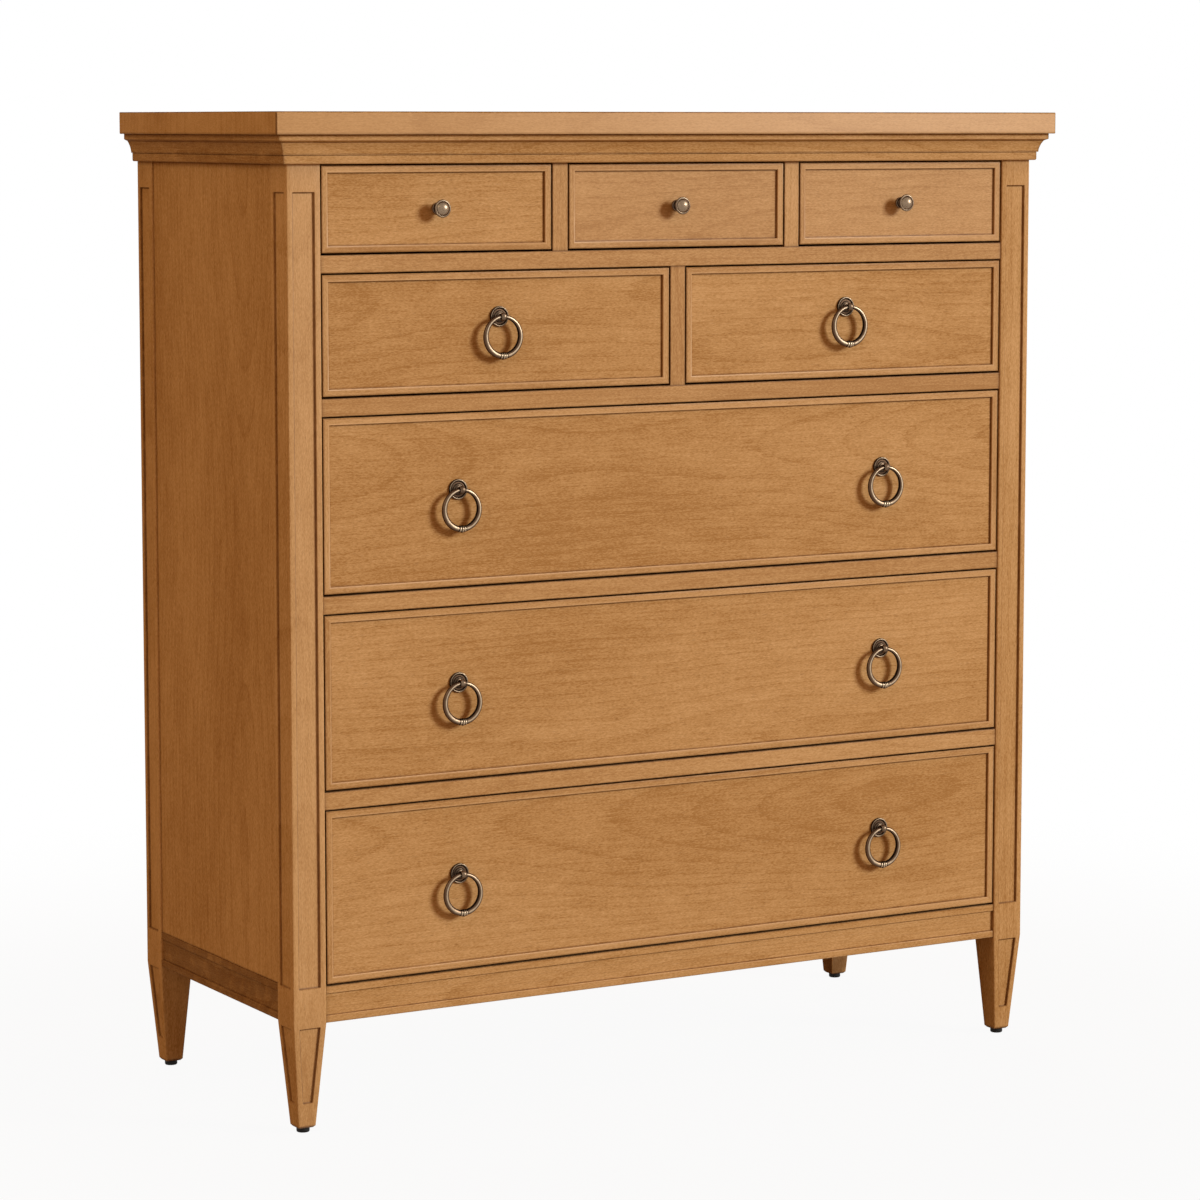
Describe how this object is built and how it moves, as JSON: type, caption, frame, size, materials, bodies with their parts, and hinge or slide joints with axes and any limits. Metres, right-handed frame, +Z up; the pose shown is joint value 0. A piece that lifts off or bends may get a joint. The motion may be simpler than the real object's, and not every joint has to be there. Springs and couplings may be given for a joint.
{
  "type": "tall chest of drawers",
  "caption": "Tall wooden chest of drawers on tapered feet, with inset beaded drawer fronts, turned knobs, swinging ring pulls and a moulded cornice, for storing clothes.",
  "frame": {"origin": "on the floor, under the middle of the top board", "axes": "+Z up, the drawers face and slide towards -Y, +X is the right-hand side seen from the front"},
  "size_m": [1.257, 0.514, 1.372],
  "materials": {
    "maple": "honey stain with dark glaze, satin lacquer",
    "drawer_wood": "clear satin lacquer",
    "inner_wood": "bare planed wood",
    "plywood": "thin stained plywood",
    "antique_brass": "antique patina, rubbed bright on the high spots",
    "glide_plastic": "matt black"
  },
  "bodies": {
    "case": {"top_board": "maple", "cornice_front": "maple", "cornice_left": "maple", "cornice_right": "maple", "post_front_left": "maple", "post_front_right": "maple", "post_rear_left": "maple", "post_rear_right": "maple", "side_panel_left": "maple", "side_panel_right": "maple", "side_apron_left": "maple", "side_apron_right": "maple", "front_apron": "maple", "top_rails": "maple", "front_rail_1": "maple", "front_rail_2": "maple", "front_rail_3": "maple", "front_rail_4": "maple", "row_1_dividers": "maple", "row_2_divider": "maple", "back_panel": "plywood", "web_frame_rails": "inner_wood", "drawer_runners": "inner_wood", "drawer_guides": "inner_wood", "dust_panels": "plywood", "drawer_stops": "inner_wood", "glue_blocks": "inner_wood", "foot_glides": "glide_plastic"},
    "drawer_1_left": {"drawer_front_1_left": "maple", "drawer_box_1_left": "drawer_wood", "knob_1_left": "antique_brass"},
    "drawer_1_centre": {"drawer_front_1_centre": "maple", "drawer_box_1_centre": "drawer_wood", "knob_1_centre": "antique_brass"},
    "drawer_1_right": {"drawer_front_1_right": "maple", "drawer_box_1_right": "drawer_wood", "knob_1_right": "antique_brass"},
    "drawer_2_left": {"drawer_front_2_left": "maple", "drawer_box_2_left": "drawer_wood", "pull_plates_2_left": "antique_brass"},
    "ring_2_left": {"ring_2_left": "antique_brass"},
    "drawer_2_right": {"drawer_front_2_right": "maple", "drawer_box_2_right": "drawer_wood", "pull_plates_2_right": "antique_brass"},
    "ring_2_right": {"ring_2_right": "antique_brass"},
    "drawer_3": {"drawer_front_3": "maple", "drawer_box_3": "drawer_wood", "pull_plates_3": "antique_brass"},
    "ring_3_left": {"ring_3_left": "antique_brass"},
    "ring_3_right": {"ring_3_right": "antique_brass"},
    "drawer_4": {"drawer_front_4": "maple", "drawer_box_4": "drawer_wood", "pull_plates_4": "antique_brass"},
    "ring_4_left": {"ring_4_left": "antique_brass"},
    "ring_4_right": {"ring_4_right": "antique_brass"},
    "drawer_5": {"drawer_front_5": "maple", "drawer_box_5": "drawer_wood", "pull_plates_5": "antique_brass"},
    "ring_5_left": {"ring_5_left": "antique_brass"},
    "ring_5_right": {"ring_5_right": "antique_brass"}
  },
  "joints": [
    {"name": "drawer_1_left_slide", "type": "slide", "parent": "case", "child": "drawer_1_left", "axis": [0, -1, 0], "range_m": [0, 0.33]},
    {"name": "drawer_1_centre_slide", "type": "slide", "parent": "case", "child": "drawer_1_centre", "axis": [0, -1, 0], "range_m": [0, 0.33]},
    {"name": "drawer_1_right_slide", "type": "slide", "parent": "case", "child": "drawer_1_right", "axis": [0, -1, 0], "range_m": [0, 0.33]},
    {"name": "drawer_2_left_slide", "type": "slide", "parent": "case", "child": "drawer_2_left", "axis": [0, -1, 0], "range_m": [0, 0.33]},
    {"name": "ring_2_left_swing", "type": "hinge", "parent": "drawer_2_left", "child": "ring_2_left", "pos_m": [-0.282, -0.237, 1.096], "axis": [-1, 0, 0], "range_deg": [-5, 165]},
    {"name": "drawer_2_right_slide", "type": "slide", "parent": "case", "child": "drawer_2_right", "axis": [0, -1, 0], "range_m": [0, 0.33]},
    {"name": "ring_2_right_swing", "type": "hinge", "parent": "drawer_2_right", "child": "ring_2_right", "pos_m": [0.282, -0.237, 1.096], "axis": [-1, 0, 0], "range_deg": [-5, 165]},
    {"name": "drawer_3_slide", "type": "slide", "parent": "case", "child": "drawer_3", "axis": [0, -1, 0], "range_m": [0, 0.33]},
    {"name": "ring_3_left_swing", "type": "hinge", "parent": "drawer_3", "child": "ring_3_left", "pos_m": [-0.3465, -0.237, 0.8635], "axis": [-1, 0, 0], "range_deg": [-5, 165]},
    {"name": "ring_3_right_swing", "type": "hinge", "parent": "drawer_3", "child": "ring_3_right", "pos_m": [0.3465, -0.237, 0.8635], "axis": [-1, 0, 0], "range_deg": [-5, 165]},
    {"name": "drawer_4_slide", "type": "slide", "parent": "case", "child": "drawer_4", "axis": [0, -1, 0], "range_m": [0, 0.33]},
    {"name": "ring_4_left_swing", "type": "hinge", "parent": "drawer_4", "child": "ring_4_left", "pos_m": [-0.3465, -0.237, 0.5995], "axis": [-1, 0, 0], "range_deg": [-5, 165]},
    {"name": "ring_4_right_swing", "type": "hinge", "parent": "drawer_4", "child": "ring_4_right", "pos_m": [0.3465, -0.237, 0.5995], "axis": [-1, 0, 0], "range_deg": [-5, 165]},
    {"name": "drawer_5_slide", "type": "slide", "parent": "case", "child": "drawer_5", "axis": [0, -1, 0], "range_m": [0, 0.33]},
    {"name": "ring_5_left_swing", "type": "hinge", "parent": "drawer_5", "child": "ring_5_left", "pos_m": [-0.3465, -0.237, 0.3355], "axis": [-1, 0, 0], "range_deg": [-5, 165]},
    {"name": "ring_5_right_swing", "type": "hinge", "parent": "drawer_5", "child": "ring_5_right", "pos_m": [0.3465, -0.237, 0.3355], "axis": [-1, 0, 0], "range_deg": [-5, 165]}
  ]
}
